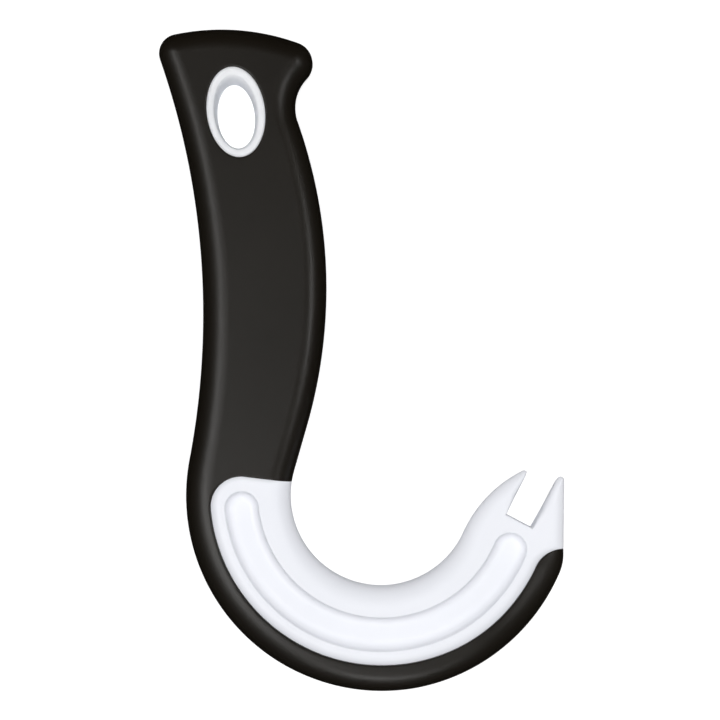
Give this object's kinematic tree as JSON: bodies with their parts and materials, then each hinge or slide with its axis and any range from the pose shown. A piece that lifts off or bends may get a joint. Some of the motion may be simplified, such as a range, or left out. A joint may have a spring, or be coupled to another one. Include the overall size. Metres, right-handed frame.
{
  "type": "ring-pull can opener",
  "caption": "J-shaped ring-pull can opener: stiff white hook with a forked tip and an oval hanging eyelet, with a soft black grip moulded along the handle and round the heel.",
  "frame": {"origin": "centre of the bounding box in X and Y, on the back face that the opener lies on", "axes": "+X from the handle towards the fork, +Y along the handle towards the eyelet, +Z through the thickness, out of the front face"},
  "size_m": [0.0949, 0.1546, 0.012],
  "materials": {
    "white_plastic": "satin moulded ABS",
    "black_rubber": "matt moulded thermoplastic rubber"
  },
  "bodies": {
    "root": {"hook_core": "white_plastic", "grip": "black_rubber"}
  },
  "joints": []
}
